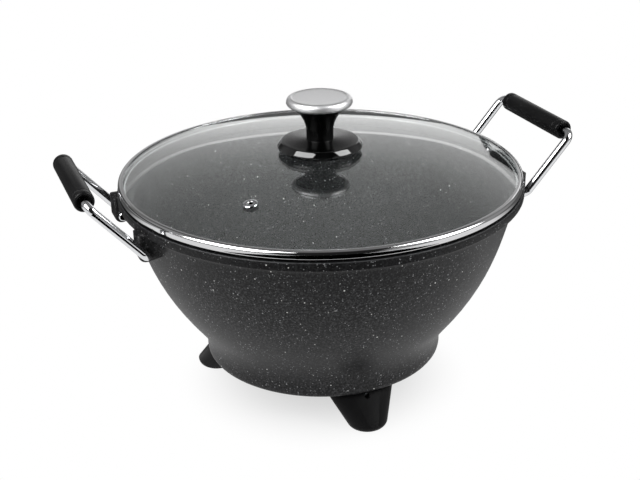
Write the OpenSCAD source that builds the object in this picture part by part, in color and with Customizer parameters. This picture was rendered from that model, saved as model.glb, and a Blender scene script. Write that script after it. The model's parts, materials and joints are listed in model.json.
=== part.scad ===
// Electric wok: cast non-stick pan on three feet, with two wire bail handles and a lift-off
// domed glass lid. Millimetres, +Z up. The origin is on the table top under the pan's axis,
// +X points to the right-hand handle and +Y to the rear, where the power inlet is.

/* [Pan] */
// Outer diameter of the rim flange
rim_d = 354; // [345:0.5:362]
// Height of the rim's top face above the table
rim_h = 194; // [186:0.5:202]
// Height of the flange's outer edge
flange_h = 7.6; // [6:0.2:9]
// Overhang of the flange over the bowl's wall
flange_overhang = 5.6; // [4.5:0.1:7]
// Width of the rim's top face
rim_face_w = 6.5; // [6:0.1:7.5]
// Depth of the step inside the rim that takes the lid's lip
step_depth = 10; // [9.6:0.1:11]
// Width of the step's ledge
ledge_w = 6.5; // [4:0.1:7.5]
// Lean of the bowl's wall at the top, from the vertical, in degrees
lean_top = 20.7; // [17:0.1:23]
// Lean of the bowl's wall above the base ring, from the vertical, in degrees
lean_base = 38.2; // [35:0.1:40]
// Height of the cooking floor above the table
cook_floor_h = 62; // [60.5:0.1:64]
// Diameter of the flat cooking floor
cook_floor_d = 172; // [150:1:185]
// Thickness of the cooking floor
cook_floor_t = 5; // [4:0.1:5.5]
// Wall thickness of the bowl
wall_t = 3.6; // [3:0.1:4.5]

/* [Base ring] */
// Outer diameter of the base ring
ring_d = 214; // [206:1:220]
// Height of the straight part of the base ring
ring_h = 9; // [7:0.5:11]
// Radius of the ring's rounded lower edge
ring_edge_r = 4.8; // [3:0.1:5]
// Thickness of the ring's skirt
skirt_t = 5.5; // [5.2:0.1:6.5]

/* [Feet] */
// Height of the feet, to the underside of the base
foot_h = 33.5; // [31:0.5:36]
// Distance from the axis to the middle of a foot's top
foot_top_r = 86; // [84:0.5:87]
// Width of a foot at its top
foot_top_w = 63; // [54:0.5:66]
// Thickness of a foot at its top, along the radius
foot_top_t = 28; // [26:0.5:28.5]
// Distance from the axis to the middle of a foot's lower end
foot_tip_r = 102.5; // [99:0.5:106]
// Diameter of a foot's lower end
foot_tip_d = 36; // [30:0.5:38]
// Radius of the rounded edge round a foot's lower end
foot_edge_r = 6.2; // [5:0.1:7]
// Diameter of the screw hole in a foot's face
foot_hole_d = 4.4; // [4.2:0.1:5]
// Diameter of the rubber pads
pad_d = 17; // [14:0.5:17.5]
// Thickness of the rubber pads
pad_t = 3.5; // [2.5:0.1:4]
// How far the pads stand out below the feet
pad_proud = 1.5; // [0.8:0.1:2]

/* [Lid] */
// How far the lid's rim band stays inside the rim's outer edge
band_inset = 1; // [0.5:0.1:2]
// Sheet thickness of the rim band
band_t = 0.7; // [0.5:0.05:0.8]
// Height of the band above the rim's top face
band_h = 8.7; // [8.4:0.1:9.2]
// Depth of the lip that drops inside the rim
lip_depth = 8; // [6:0.1:9]
// Thickness of the glass
glass_t = 4; // [3.6:0.1:4.2]
// Rise of the glass dome above its edge
dome_rise = 20.5; // [15:0.5:26]
// Distance from the lid's axis to the steam vent
vent_r = 116.6; // [90:0.2:140]
// Direction of the steam vent, in degrees from +X
vent_angle = 220.6; // [180:0.2:260]
// Diameter of the steam vent's flange
vent_d = 8; // [7:0.1:10]

/* [Knob] */
// Diameter of the knob's foot disc
disc_d = 74; // [66:1:80]
// Height of the foot disc
disc_h = 7.6; // [6:0.2:9]
// Diameter of the stem at its waist
waist_d = 23.5; // [20:0.5:26]
// Height of the knob's body above the disc's underside
stem_h = 38; // [34:0.5:44]
// Diameter of the stem's flared top
flare_d = 48; // [46:0.5:50]
// Diameter of the steel cap
cap_d = 57.2; // [54:0.2:62]
// Height of the steel cap
cap_h = 8; // [7:0.2:9]
// Diameter of the knob's screw
knob_screw_d = 5; // [4:0.1:5.5]

/* [Handles] */
// Diameter of the bail wire
wire_d = 7.6; // [7:0.1:8]
// Distance between the bail's two arms, on their centre lines
bail_w = 121.2; // [118:0.2:128]
// Distance from the hinge line to the grip's axis
bail_reach = 67; // [60:0.5:74]
// Slope of the bail above the horizontal, in degrees
bail_slope = 48.9; // [35:0.1:60]
// Bend radius of the bail at its hinge end
hinge_bend_r = 7; // [6.5:0.1:8]
// Bend radius of the bail at the grip
grip_bend_r = 8; // [6.5:0.1:8]
// Drop of the hinge line below the rim's top face
hinge_drop = 21.1; // [20:0.1:24]
// Radius of a lug round the hinge line
lug_r = 6.6; // [6:0.1:7.2]
// Width of a lug, along the hinge line
lug_w = 16; // [12:0.5:17]
// How far the wire's end stands out past its lug
wire_tip = 5; // [3:0.5:7]
// Diameter of the grips
grip_d = 17; // [15:0.5:19]
// Length of the grips
grip_len = 96; // [86:1:98]
// Running clearance round the wire, in lugs and grips
run_gap = 0.08; // [0.05:0.01:0.1]

/* [Heating] */
// Diameter of the element's sheath
sheath_d = 7; // [6:0.1:7.4]
// Radius of the element's ring
element_r = 62; // [56:0.5:64]
// Distance between the element's two ends, and between the contact pins
pin_pitch = 20; // [19:0.1:21]
// Diameter of the contact pins
pin_d = 4.8; // [4:0.1:5]
// Length of the contact pins inside the inlet
pin_len = 18; // [14:0.5:20]
// Outer diameter of the probe guide
probe_d = 8.4; // [8:0.1:8.6]
// Bore of the probe guide
probe_bore_d = 6.6; // [6:0.1:7]

/* [Inlet] */
// Width of the inlet shroud
shroud_w = 42; // [40:0.5:43]
// Height of the inlet shroud
shroud_h = 19.6; // [18.5:0.1:20]
// Length of the inlet shroud
shroud_len = 32; // [28:0.5:36]
// Wall thickness of the shroud
shroud_t = 2; // [1.6:0.1:2.4]

/* [Hidden] */
$fn = 96;
eps = 0.01;
// How far a cut runs past what it cuts
cut = 1;
// Gap between pieces that lie on each other without a fit
seat_gap = 0.3;
// Thin gap between pieces that are pressed or glued together
press_gap = 0.05;
// Clearance round a screw in a hole that it passes through
pass_gap = 0.2;
curve_steps = 14;
corner_steps = 4;

// Pan
rim_r = rim_d / 2;
bowl_top_r = rim_r - flange_overhang;
bowl_top_h = rim_h - flange_h;
flange_round = 1.2;
step_r = rim_r - rim_face_w;
ledge_h = rim_h - step_depth;
ledge_r = step_r - ledge_w;
ring_r = ring_d / 2;
ring_bottom = foot_h + seat_gap;
ring_top = ring_bottom + ring_h;
cove_r = 13;
cove_h = 29;
top_handle = 28.4;
base_handle = 64.3;
cavity_cut = 0.8;
// How much steeper the inner wall stands at the top, in degrees
inner_lean = 8;
skirt_r = ring_r - skirt_t;
ceiling_h = cook_floor_h - cook_floor_t;
recess_chamfer = 3;
notch_past = 10;

// Handles
wire_r = wire_d / 2;
hinge_x = rim_r - lug_r;
hinge_z = rim_h - hinge_drop;
arm_y = bail_w / 2;
lug_bend_gap = 1.1;
lug_out_y = arm_y - hinge_bend_r - lug_bend_gap;
lug_in_y = lug_out_y - lug_w;
tip_y = lug_in_y - wire_tip;
tip_chamfer = 0.8;
lug_root = 24;
lug_web = 2;
lug_rise = 3;
lug_round = 3;
grip_recess_r = 6.2;
grip_recess = 4.5;
grip_round = 2;
grip_groove = 0.4;
grip_groove_at = 7;
grip_groove_w = 1.2;

// Lid
band_r = rim_r - band_inset;
band_top = rim_h + band_h;
band_over = 4.1;
band_tuck = 0.6;
band_dip = 0.1;
band_shoulder = 3;
band_curl = 1.4;
seat_roll = 1.4;
seat_from = 3;
seat_to = 1.6;
lip_bend = 0.8;
lip_gap = 1.15;
lip_r = step_r - lip_gap - band_t / 2;
glass_inset = 1.7;
glass_drop = 0.95;
glass_edge_r = band_r - glass_inset;
glass_mid_h = band_top - band_t - glass_t / 2 - glass_drop;
dome_r = (glass_edge_r * glass_edge_r + dome_rise * dome_rise) / (2 * dome_rise);
dome_centre = glass_mid_h + dome_rise - dome_r;
glass_top = glass_mid_h + dome_rise + glass_t / 2;
glass_under = glass_top - glass_t;
hole_gap = 0.5;
knob_hole_r = knob_screw_d / 2 + hole_gap;
vent_flange_w = 1.5;
vent_wall = 0.9;
vent_lip = 0.8;
vent_under_in = 0.5;
vent_hole_r = vent_d / 2 - vent_flange_w;
vent_bore_r = vent_hole_r - vent_wall;
vent_tilt = asin(vent_r / dome_r);

// Knob
gasket_t = 0.8;
gasket_inset = 5;
gasket_r = disc_d / 2 - gasket_inset;
disc_r = disc_d / 2;
disc_bottom = glass_top + gasket_t;
disc_edge_in = 3;
disc_edge_round = 1;
disc_under_in = 1.8;
disc_lower = 2;
disc_band = 1.2;
disc_draft = 0.3;
disc_slope = 0.8;
stem_fillet = 2.2;
waist_rise = 6;
waist_pull = 9;
flare_pull = [4.3, 5.4];
flare_drop = 4;
flare_edge = 0.9;
flare_r = flare_d / 2;
stem_top = disc_bottom + stem_h;
flare_lip = 4.5;
spigot_r = 20;
spigot_h = 4;
cap_r = cap_d / 2;
cap_bottom = stem_top;
cap_rim_in = 4.2;
cap_face_in = 5.6;
cap_face_drop = 0.7;
cap_widest = 3;
cap_under_in = 1.2;
cap_under_round = 0.6;
cap_rim_round = 0.2;
cap_crown = 0.4;
cap_round_steps = 8;
insert_depth = 12;
washer_r = 9;
washer_t = 1.2;
lower_gasket_r = 11;
lower_gasket_h = glass_under - gasket_t;
washer_h = lower_gasket_h - washer_t;
head_r = 4.6;
head_h = 3.2;
head_draft = 0.8;
screw_end_gap = 1;

// Feet
foot_angles = [-90, 30, 150];
foot_top_t_plate = 1;
hull_fn = 32;
edge_fn = 16;
block_w = 30;
block_t = 11;
block_h = 11;
block_shift = 4;
block_r = foot_top_r + block_shift;
foot_screw_h = 29.6;
foot_screw_d = 2.6;
foot_screw_len = 13;
foot_head_d = 3.8;
foot_head_h = 1.6;
foot_face_t = 3;
foot_bore_end = block_r + block_t / 2 + foot_face_t;
foot_screw_in = foot_bore_end - foot_screw_len;
pad_chamfer = 0.6;
screw_gap = 0.05;

// Base
cover_t = 2.5;
cover_r = skirt_r - seat_gap;
cover_top = foot_h + cover_t;
cover_rib_r = 46;
cover_rib_t = 2;
cover_rib_h = 3;
slot_count = 18;
slot_w = 3;
slot_in = 54;
slot_out = 68;
cover_boss_angles = [68, 112, 210, 330];
cover_boss_at = 90;
boss_r = 4;
cover_screw_d = 3;
cover_head_d = 6.4;
cover_head_h = 2;
cover_screw_grip = 8;
pan_head_draft = 0.5;

// Heating
element_h = ceiling_h - seat_gap - sheath_d / 2;
lead_x = pin_pitch / 2;
lead_start_y = sqrt(element_r * element_r - lead_x * lead_x);
ferrule_t = 0.2;
ferrule_d = sheath_d + 2 * ferrule_t;
shroud_inset = 4.5;
shroud_back = skirt_r - shroud_inset;
strap_gap = 8;
strap_y = shroud_back - strap_gap;
strap_t = 1.6;
strap_w = 7;
shank_in = 0.7;
shank_d = pin_d - 2 * shank_in;
pin_step = 0.5;
pin_nose = 1;
clamp_angles = [-90, 30, 150];
clamp_t = 1.5;
clamp_w = 12;
clamp_top = element_h - sheath_d / 2;
clamp_screw_out = 10;
clamp_screw_at = element_r + sheath_d / 2 + clamp_screw_out;
clamp_reach = 7;
clamp_end = 6;
clamp_in = element_r - clamp_reach;
clamp_out = clamp_screw_at + clamp_end;
clamp_screw_d = 3;
clamp_head_d = 6;
clamp_head_h = 2;
clamp_screw_grip = 6;
reflector_t = 0.8;
reflector_r = 84;
reflector_top = clamp_top - clamp_t;
reflector_bottom = reflector_top - reflector_t;

// Inlet
inlet_bottom = cover_top;
inlet_mid = inlet_bottom + shroud_h / 2;
shroud_round = 4;
shroud_back_t = 3;
shroud_end = shroud_back + shroud_len;
flange_w = 56;
flange_t = 7;
flange_rise = 5.5;
inlet_screw_x = 23.5;
inlet_screw_d = 2.6;
inlet_screw_grip = 4.5;
inlet_head_d = 5.2;
notch_w = shroud_w + 2 * seat_gap;
notch_top = inlet_bottom + shroud_h + seat_gap;
blade_x = -16;
blade_t = 0.8;
blade_w = 6.3;
blade_len = 15;
blade_strap = 5;
probe_rib_w = 9;
probe_rib_low = inlet_mid + probe_d / 2 + seat_gap;
probe_start = 38;
probe_end_t = 1.5;
probe_wall_gap = 0.2;
reflector_notch_w = 36;
reflector_notch_gap = 2;

// ---------- curves ----------

// Point at t on a cubic Bezier curve
function cubic_at(a, b, c, d, t) =
    pow(1 - t, 3) * a + 3 * pow(1 - t, 2) * t * b + 3 * (1 - t) * t * t * c + pow(t, 3) * d;

// Point at t on a quadratic Bezier curve
function quadratic_at(a, b, c, t) = pow(1 - t, 2) * a + 2 * (1 - t) * t * b + t * t * c;

// Cubic Bezier curve from a to d
function cubic(a, b, c, d, steps = curve_steps) =
    [for (i = [0:steps]) cubic_at(a, b, c, d, i / steps)];

// Quadratic Bezier curve from a to c, without its first point
function quadratic(a, b, c, steps = curve_steps / 2) =
    [for (i = [1:steps]) quadratic_at(a, b, c, i / steps)];

// Arc about [x, y] from angle from to angle to
function arc(x, y, r, from, to, steps = corner_steps) =
    [for (i = [0:steps])
        let (angle = from + (to - from) * i / steps)
        [x + r * cos(angle), y + r * sin(angle)]];

// Rectangle with rounded corners about the origin
function rounded_rect(w, h, r) = concat(
    arc(w / 2 - r, h / 2 - r, r, 0, 90),
    arc(r - w / 2, h / 2 - r, r, 90, 180),
    arc(r - w / 2, r - h / 2, r, 180, 270),
    arc(w / 2 - r, r - h / 2, r, 270, 360)
);

// Unit normal, to the left of the way from a to b
function left_normal(a, b) = [a[1] - b[1], b[0] - a[0]] / norm(b - a);

// Offset of point i of a path by d to its left, mitred at the corners
function mitred(path, i, d) =
    let (
        last = len(path) - 1,
        before = left_normal(path[max(i - 1, 0)], path[max(i, 1)]),
        after = left_normal(path[min(i, last - 1)], path[min(i + 1, last)]),
        way = before + after
    )
    path[i] + way * d * 2 / (way * way);

// Closed outline of a sheet of thickness t along a path
function sheet(path, t) = concat(
    [for (i = [0:len(path) - 1]) mitred(path, i, t / 2)],
    [for (i = [len(path) - 1:-1:0]) mitred(path, i, -t / 2)]
);

// ---------- pan ----------

// Outer face of the bowl, from the flange down to the base ring
function bowl_outside() =
    let (
        top = [bowl_top_r, bowl_top_h],
        low = [ring_r + cove_r, ring_top + cove_h],
        turn = [ring_r, low[1] - cove_r / tan(lean_base)],
        top_pull = top - top_handle * [sin(lean_top), cos(lean_top)],
        low_pull = low + base_handle * [sin(lean_base), cos(lean_base)]
    )
    concat(cubic(top, top_pull, low_pull, low), quadratic(low, turn, [ring_r, ring_top]));

// Inner face of the bowl, from the step's ledge down to the flat floor
function bowl_inside() =
    let (
        top = [ledge_r, ledge_h],
        low = [ring_r + cove_r - wall_t / cos(lean_base), ring_top + cove_h],
        floor_edge = [cook_floor_d / 2, cook_floor_h],
        turn = [low[0] - (low[1] - cook_floor_h) * tan(lean_base), cook_floor_h],
        top_pull = top - top_handle * [sin(lean_top - inner_lean), cos(lean_top - inner_lean)],
        low_pull = low + base_handle * [sin(lean_base), cos(lean_base)]
    )
    concat(cubic(top, top_pull, low_pull, low), quadratic(low, turn, floor_edge));

// Solid body of the pan, before the cavity is taken out
module pan_blank() {
    edge = ring_r - ring_edge_r;
    rotate_extrude() polygon(concat(
        [[0, rim_h]],
        arc(rim_r - flange_round, rim_h - flange_round, flange_round, 90, 0),
        arc(rim_r - flange_round, bowl_top_h + flange_round, flange_round, 0, -90),
        bowl_outside(),
        arc(edge, ring_bottom + ring_edge_r, ring_edge_r, 0, -90),
        [[0, ring_bottom]]
    ));
}

// Space inside the pan, with the step for the lid at the top
module pan_cavity() {
    rotate_extrude() polygon(concat(
        [[0, rim_h + cut]],
        [[step_r + cavity_cut, rim_h + cut]],
        [[step_r + cavity_cut, rim_h]],
        [[step_r, rim_h - cavity_cut]],
        [[step_r, ledge_h + cavity_cut]],
        [[step_r - cavity_cut, ledge_h]],
        bowl_inside(),
        [[0, cook_floor_h]]
    ));
}

// Hollow under the cooking floor
module pan_recess() {
    rotate_extrude() polygon([
        [0, ring_bottom - cut],
        [skirt_r, ring_bottom - cut],
        [skirt_r, ceiling_h - recess_chamfer],
        [skirt_r - recess_chamfer, ceiling_h],
        [0, ceiling_h]
    ]);
}

// One lug's outline about the hinge line, x outwards
module lug_outline() {
    circle(r = lug_r);
    polygon([
        [-lug_root, -lug_web],
        [0, -lug_r],
        [0, 0],
        [lug_r, 0],
        [lug_r, hinge_drop - flange_h + lug_rise],
        [-lug_root, hinge_drop - flange_h + lug_rise]
    ]);
}

// One lug seen from above, x outwards, with its two outer corners rounded
module lug_plan() {
    start = -lug_root - cut;
    for (side = [-1, 1])
        translate([lug_r - lug_round, side * (lug_w / 2 - lug_round)]) circle(r = lug_round);
    translate([start, -lug_w / 2]) square([lug_r - lug_round - start, lug_w]);
    translate([start, lug_round - lug_w / 2]) square([lug_r - start, lug_w - 2 * lug_round]);
}

// The two lugs of the right-hand bail
module lug_pair() {
    for (side = [-1, 1])
        translate([hinge_x, side * (lug_in_y + lug_w / 2), hinge_z])
            intersection() {
                translate([0, lug_w / 2, 0]) rotate([90, 0, 0]) linear_extrude(lug_w) lug_outline();
                translate([0, 0, -lug_r - cut]) linear_extrude(hinge_drop + lug_r) lug_plan();
            }
}

// Bores of the two lugs of the right-hand bail
module lug_bores() {
    for (side = [-1, 1])
        translate([hinge_x, side * (lug_in_y + lug_w / 2), hinge_z])
            rotate([90, 0, 0])
                cylinder(r = wire_r + run_gap, h = lug_w + 2 * cut, center = true);
}

// Boss under the cooking floor that takes a screw, down to height low
module floor_boss(low, screw_d) {
    translate([0, 0, low])
        difference() {
            cylinder(r = boss_r, h = ceiling_h - low + eps);
            translate([0, 0, -cut])
                cylinder(d = screw_d + 2 * screw_gap, h = ceiling_h - low);
        }
}

module wok_pan() {
    color("#3c3c3e") {
        difference() {
            union() {
                pan_blank();
                lug_pair();
                mirror([1, 0, 0]) lug_pair();
            }
            pan_cavity();
            pan_recess();
            lug_bores();
            mirror([1, 0, 0]) lug_bores();
            translate([-notch_w / 2, 0, ring_bottom - cut])
                cube([notch_w, ring_r + cove_r + notch_past, notch_top - ring_bottom + cut]);
        }
        for (a = cover_boss_angles)
            rotate([0, 0, a]) translate([cover_boss_at, 0, 0]) floor_boss(cover_top, cover_screw_d);
        for (a = clamp_angles)
            rotate([0, 0, a]) translate([clamp_screw_at, 0, 0]) floor_boss(clamp_top, clamp_screw_d);
        translate([-probe_rib_w / 2, probe_start, probe_rib_low])
            cube([probe_rib_w, strap_y - probe_start, ceiling_h - probe_rib_low + eps]);
    }
}

// ---------- bail handles ----------

// Half of a bail in its own plane: hinge line along y at x = 0, grip line at x = bail_reach
module half_bail() {
    translate([0, tip_y, 0]) rotate([-90, 0, 0]) {
        cylinder(r1 = wire_r - tip_chamfer, r2 = wire_r, h = tip_chamfer);
        translate([0, 0, tip_chamfer]) cylinder(r = wire_r, h = arm_y - hinge_bend_r - tip_y - tip_chamfer);
    }
    translate([hinge_bend_r, arm_y - hinge_bend_r, 0]) rotate([0, 0, 90])
        rotate_extrude(angle = 90) translate([hinge_bend_r, 0]) circle(r = wire_r);
    translate([hinge_bend_r, arm_y, 0]) rotate([0, 90, 0])
        cylinder(r = wire_r, h = bail_reach - hinge_bend_r - grip_bend_r);
    translate([bail_reach - grip_bend_r, arm_y - grip_bend_r, 0])
        rotate_extrude(angle = 90) translate([grip_bend_r, 0]) circle(r = wire_r);
    translate([bail_reach, 0, 0]) rotate([-90, 0, 0])
        cylinder(r = wire_r, h = arm_y - grip_bend_r);
}

// A bail where it stands at rest, on the right-hand side
module bail() {
    color("#c9cbce")
        translate([hinge_x, 0, hinge_z]) rotate([0, -bail_slope, 0]) {
            half_bail();
            mirror([0, 1, 0]) half_bail();
        }
}

// Outline of a grip's upper half, from its outside round the end to its bore:
// radius over the distance from the middle
function grip_end() =
    let (
        half = grip_len / 2,
        r = grip_d / 2,
        bore = wire_r + run_gap,
        groove = half - grip_groove_at
    )
    concat(
        [[r, groove - grip_groove_w]],
        [[r - grip_groove, groove - grip_groove_w / 2]],
        [[r, groove]],
        arc(r - grip_round, half - grip_round, grip_round, 0, 90),
        [[grip_recess_r, half]],
        [[grip_recess_r, half - grip_recess]],
        [[bore, half - grip_recess]]
    );

// The same outline from the bore to the outside, at the other end
function grip_other_end() =
    let (points = grip_end())
    [for (i = [len(points) - 1:-1:0]) [points[i][0], -points[i][1]]];

// A grip where it stands at rest, on the right-hand side
module grip() {
    color("#1b1b1c")
        translate([hinge_x, 0, hinge_z]) rotate([0, -bail_slope, 0])
            translate([bail_reach, 0, 0]) rotate([-90, 0, 0])
                rotate_extrude() polygon(concat(grip_end(), grip_other_end()));
}

module bail_right() {
    bail();
}

module bail_left() {
    mirror([1, 0, 0]) bail();
}

module grip_right() {
    grip();
}

module grip_left() {
    mirror([1, 0, 0]) grip();
}

// ---------- lid ----------

// Half angle of the dome at radius r
function dome_angle(r) = asin(r / dome_r);

// Arc of the dome at distance d outside its middle surface, from radius from to radius to
function dome_arc(d, from, to, steps) =
    arc(0, dome_centre, dome_r + d, 90 - dome_angle(from), 90 - dome_angle(to), steps);

module at_vent() {
    rotate([0, 0, vent_angle]) translate([0, 0, dome_centre]) rotate([0, vent_tilt, 0])
        translate([0, 0, dome_r]) children();
}

module lid_glass() {
    color([0.82, 0.86, 0.87, 0.35])
        difference() {
            rotate_extrude() polygon(concat(
                dome_arc(glass_t / 2, 0, glass_edge_r, curve_steps),
                dome_arc(-glass_t / 2, glass_edge_r, 0, curve_steps)
            ));
            cylinder(r = knob_hole_r, h = 2 * rim_h);
            at_vent() cylinder(r = vent_hole_r + screw_gap, h = 4 * glass_t, center = true);
        }
}

module lid_band() {
    skin = band_t / 2;
    outer = band_r - skin;
    top = band_top - skin;
    seat = rim_h + skin;
    path = concat(
        [[band_r - band_over - band_tuck, top - band_dip]],
        arc(outer - band_shoulder, top - band_shoulder, band_shoulder, 90, 0),
        arc(outer - band_curl, seat + band_curl + seat_roll, band_curl, 0, -90),
        [[step_r + seat_from, seat + seat_roll]],
        [[step_r + seat_to, seat]],
        arc(lip_r + lip_bend, seat - lip_bend, lip_bend, 90, 180, 2),
        [[lip_r, rim_h - lip_depth]]
    );
    color("#d6d7d9")
        rotate_extrude() polygon(sheet(path, band_t));
}

module steam_vent() {
    face = glass_t / 2 + 2 * press_gap;
    color("#cfd1d4")
        at_vent() rotate_extrude() polygon(concat(
            [[vent_bore_r, -face - vent_lip]],
            [[vent_d / 2 - vent_under_in, -face - vent_lip]],
            [[vent_d / 2 - vent_under_in, -face]],
            [[vent_hole_r, -face]],
            [[vent_hole_r, face]],
            [[vent_d / 2, face]],
            arc(vent_d / 2 - vent_lip, face, vent_lip, 0, 90),
            [[vent_bore_r + vent_lip, face + vent_lip]],
            [[vent_bore_r, face]]
        ));
}

// ---------- knob ----------

module knob_body() {
    foot_top = disc_bottom + disc_h;
    corner = [waist_d / 2, foot_top + disc_slope];
    fillet_out = corner + [stem_fillet, 0];
    fillet_up = corner + [0, stem_fillet];
    waist = corner + [0, waist_rise];
    flare = [flare_r - flare_lip, stem_top - flare_drop];
    screw_r = knob_screw_d / 2;
    color("#0f0f10")
        rotate_extrude() polygon(concat(
            [[screw_r + screw_gap, disc_bottom]],
            [[disc_r - disc_under_in, disc_bottom]],
            [[disc_r, disc_bottom + disc_lower]],
            [[disc_r - disc_draft, disc_bottom + disc_lower + disc_band]],
            [[disc_r - disc_edge_in, foot_top - disc_edge_round / 2]],
            [[disc_r - disc_edge_in - disc_edge_round, foot_top]],
            [fillet_out],
            quadratic(fillet_out, corner, fillet_up, corner_steps),
            cubic(waist, waist + [0, waist_pull], flare - flare_pull, flare),
            [[flare_r, stem_top - flare_edge]],
            [[flare_r, stem_top]],
            [[spigot_r, stem_top]],
            [[spigot_r, stem_top + spigot_h]],
            [[0, stem_top + spigot_h]],
            [[0, disc_bottom + insert_depth]],
            [[screw_r + screw_gap, disc_bottom + insert_depth]]
        ));
}

module knob_cap() {
    cap_top = cap_bottom + cap_h;
    widest = cap_bottom + cap_widest;
    low = cap_bottom + press_gap;
    under = [flare_r + cap_under_in, low];
    corner = [cap_r - cap_under_round, cap_bottom + cap_under_round];
    rim = [cap_r - cap_rim_in, cap_top];
    color("#c4c5c7")
        rotate_extrude() polygon(concat(
            [[spigot_r + screw_gap, low]],
            [under],
            quadratic(under, corner, [cap_r, widest], cap_round_steps / 2),
            quadratic([cap_r, widest], [cap_r, cap_top] - [1, 1] * cap_rim_round, rim, cap_round_steps),
            [[cap_r - cap_face_in, cap_top - cap_face_drop]],
            [[0, cap_top - cap_face_drop + cap_crown]],
            [[0, cap_bottom + spigot_h + seat_gap]],
            [[spigot_r + screw_gap, cap_bottom + spigot_h + seat_gap]]
        ));
}

module knob_gaskets() {
    color("#2a2a2b") {
        rotate_extrude() polygon(concat(
            dome_arc(glass_t / 2 + press_gap, gasket_r, knob_hole_r, 4),
            [[knob_hole_r, disc_bottom]],
            [[gasket_r, disc_bottom]]
        ));
        rotate_extrude() polygon(concat(
            dome_arc(-glass_t / 2 - press_gap, lower_gasket_r, knob_hole_r, 2),
            [[knob_hole_r, lower_gasket_h]],
            [[lower_gasket_r, lower_gasket_h]]
        ));
    }
}

module knob_washer() {
    color("#b9bbbd")
        translate([0, 0, washer_h]) difference() {
            cylinder(r = washer_r, h = washer_t);
            translate([0, 0, -cut]) cylinder(r = knob_hole_r, h = washer_t + 2 * cut);
        }
}

module knob_screw() {
    color("#b0b2b4") {
        translate([0, 0, washer_h - head_h]) cylinder(r1 = head_r - head_draft, r2 = head_r, h = head_h);
        translate([0, 0, washer_h])
            cylinder(r = knob_screw_d / 2, h = disc_bottom + insert_depth - screw_end_gap - washer_h);
    }
}

// ---------- feet ----------

// Moulded foot on +X: an oval top plate drawn out to a round, round-edged end
module foot_shell() {
    tip_ring = foot_tip_d / 2 - foot_edge_r;
    hull() {
        translate([foot_top_r, 0, foot_h - foot_top_t_plate])
            scale([foot_top_t / foot_top_w, 1, 1])
                cylinder(d = foot_top_w, h = foot_top_t_plate, $fn = hull_fn);
        translate([foot_tip_r, 0, pad_proud + foot_edge_r])
            rotate_extrude($fn = hull_fn) translate([tip_ring, 0]) circle(r = foot_edge_r, $fn = edge_fn);
    }
}

// Block of the base cover that a foot's pocket takes, on +X, with a margin round it
module foot_block(margin) {
    translate([block_r - block_t / 2 - margin, -block_w / 2 - margin, foot_h - block_h - margin])
        cube([block_t + 2 * margin, block_w + 2 * margin, block_h + margin + eps]);
}

// Hole along +X at the height of the foot screws, from radius from to radius to
module foot_bore(d, from, to) {
    translate([from, 0, foot_screw_h]) rotate([0, 90, 0]) cylinder(d = d, h = to - from);
}

module foot(angle) {
    color("#202021")
        rotate([0, 0, angle]) difference() {
            foot_shell();
            foot_block(seat_gap);
            foot_bore(foot_hole_d, foot_bore_end, foot_tip_r + foot_tip_d);
            foot_bore(foot_screw_d + 2 * screw_gap, block_r, foot_bore_end + eps);
            translate([foot_tip_r, 0, -cut]) cylinder(d = pad_d + 2 * screw_gap, h = pad_t + cut);
        }
}

module foot_front() {
    foot(foot_angles[0]);
}

module foot_rear_right() {
    foot(foot_angles[1]);
}

module foot_rear_left() {
    foot(foot_angles[2]);
}

module foot_pad(angle) {
    color("#2b2b2b")
        rotate([0, 0, angle]) translate([foot_tip_r, 0, 0]) {
            cylinder(d1 = pad_d - 2 * pad_chamfer, d2 = pad_d, h = pad_chamfer);
            translate([0, 0, pad_chamfer]) cylinder(d = pad_d, h = pad_t - pad_chamfer);
        }
}

module foot_pad_front() {
    foot_pad(foot_angles[0]);
}

module foot_pad_rear_right() {
    foot_pad(foot_angles[1]);
}

module foot_pad_rear_left() {
    foot_pad(foot_angles[2]);
}

module foot_screws() {
    color("#8f9194")
        for (a = foot_angles)
            rotate([0, 0, a]) {
                foot_bore(foot_head_d, foot_bore_end, foot_bore_end + foot_head_h);
                foot_bore(foot_screw_d, foot_screw_in, foot_bore_end);
            }
}

// ---------- base ----------

// Where the shroud's screws stand
module at_inlet_screws() {
    for (side = [-1, 1])
        translate([side * inlet_screw_x, shroud_back - flange_t / 2, 0]) children();
}

module base_cover() {
    color("#242425")
        difference() {
            union() {
                translate([0, 0, foot_h]) cylinder(r = cover_r, h = cover_t);
                translate([0, 0, foot_h]) difference() {
                    cylinder(r = cover_rib_r + cover_rib_t, h = cover_t + cover_rib_h);
                    translate([0, 0, -cut]) cylinder(r = cover_rib_r, h = cover_t + cover_rib_h + 2 * cut);
                }
                for (a = foot_angles)
                    rotate([0, 0, a]) foot_block(0);
            }
            for (i = [0:slot_count - 1])
                rotate([0, 0, (i + 0.5) * 360 / slot_count])
                    translate([slot_in, -slot_w / 2, foot_h - cut])
                        cube([slot_out - slot_in, slot_w, cover_t + 2 * cut]);
            for (a = cover_boss_angles)
                rotate([0, 0, a]) translate([cover_boss_at, 0, foot_h - cut])
                    cylinder(d = cover_screw_d + 2 * pass_gap, h = cover_t + 2 * cut);
            at_inlet_screws() translate([0, 0, foot_h - cut])
                cylinder(d = inlet_screw_d + 2 * pass_gap, h = cover_t + 2 * cut);
            for (a = foot_angles)
                rotate([0, 0, a])
                    foot_bore(foot_screw_d + 2 * screw_gap, foot_screw_in - cut, foot_bore_end);
        }
}

// Pan-head screw that points up, with the underside of its head at z = 0
module screw(d, head_d, head_h, grip) {
    translate([0, 0, -head_h]) cylinder(d1 = head_d - 2 * pan_head_draft, d2 = head_d, h = head_h);
    cylinder(d = d, h = grip);
}

module cover_screws() {
    color("#9a9c9e")
        for (a = cover_boss_angles)
            rotate([0, 0, a]) translate([cover_boss_at, 0, foot_h])
                screw(cover_screw_d, cover_head_d, cover_head_h, cover_t + cover_screw_grip);
}

// ---------- heating ----------

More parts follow.
